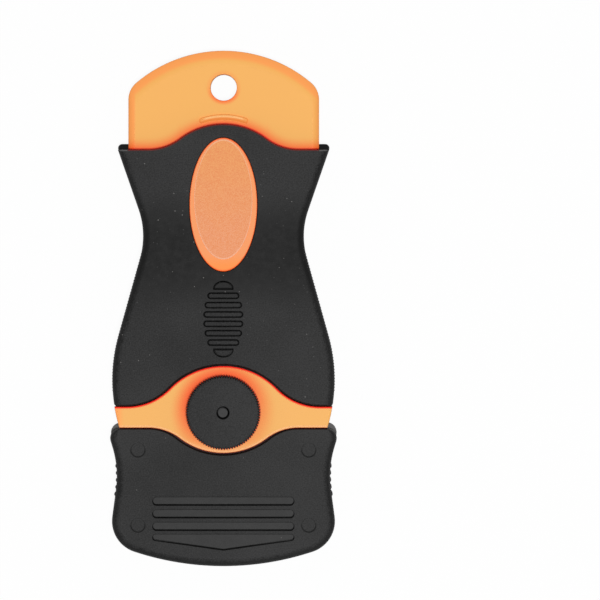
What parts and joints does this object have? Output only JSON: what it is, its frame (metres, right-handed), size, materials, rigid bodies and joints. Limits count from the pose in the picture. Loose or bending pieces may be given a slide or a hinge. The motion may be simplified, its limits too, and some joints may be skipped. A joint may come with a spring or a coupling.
{
  "type": "razor blade scraper",
  "caption": "Hand scraper with a waisted black rubber grip on an orange core, a razor blade clamped in jaws by a toothed knob, a slip-on blade cover and a hanging tab",
  "frame": {"origin": "centre of the bottom of the bounding box: the scraper lies on the back of its grip and cover", "axes": "+X to the right seen from the front, +Y along the scraper toward the hanging tab, +Z out of the front face, up"},
  "size_m": [0.0612, 0.1394, 0.021],
  "materials": {
    "orange_plastic": "smooth moulded orange plastic",
    "black_rubber": "matt black rubber, fine stipple along the edges",
    "badge_plastic": "smooth orange plastic",
    "label_film": "clear film, bare",
    "plated_steel": "zinc-plated steel",
    "blade_steel": "ground blade steel",
    "back_strip": "folded aluminium strip",
    "knob_plastic": "moulded black plastic, toothed rim",
    "cover_plastic": "moulded black plastic with a fine grain"
  },
  "bodies": {
    "handle": {"core_frame": "orange_plastic", "grip_sleeve": "black_rubber", "badge_insert": "badge_plastic", "badge_label": "label_film", "clamp_nut": "plated_steel", "blade": "blade_steel", "blade_back": "back_strip"},
    "clamp": {"clamp_plate": "orange_plastic", "thrust_washer": "plated_steel"},
    "knob": {"knob": "knob_plastic", "knob_stud": "plated_steel", "retaining_ring": "plated_steel"},
    "cover": {"cover_front": "cover_plastic", "cover_back": "cover_plastic", "cover_pins": "cover_plastic"}
  },
  "joints": [
    {"name": "clamp_lift", "type": "slide", "parent": "handle", "child": "clamp", "axis": [0, 0, 1], "range_m": [0, 0.0016]},
    {"name": "knob_turn", "type": "hinge", "parent": "clamp", "child": "knob", "pos_m": [0, -0.0281, 0.018], "axis": [0, 0, 1], "range_deg": [0, 720]},
    {"name": "cover_pull", "type": "slide", "parent": "handle", "child": "cover", "axis": [0, -1, 0], "range_m": [0, 0.04]}
  ],
  "couplings": [
    {"joint": "knob_turn", "follows": "clamp_lift", "rad_per_m": 7854}
  ]
}
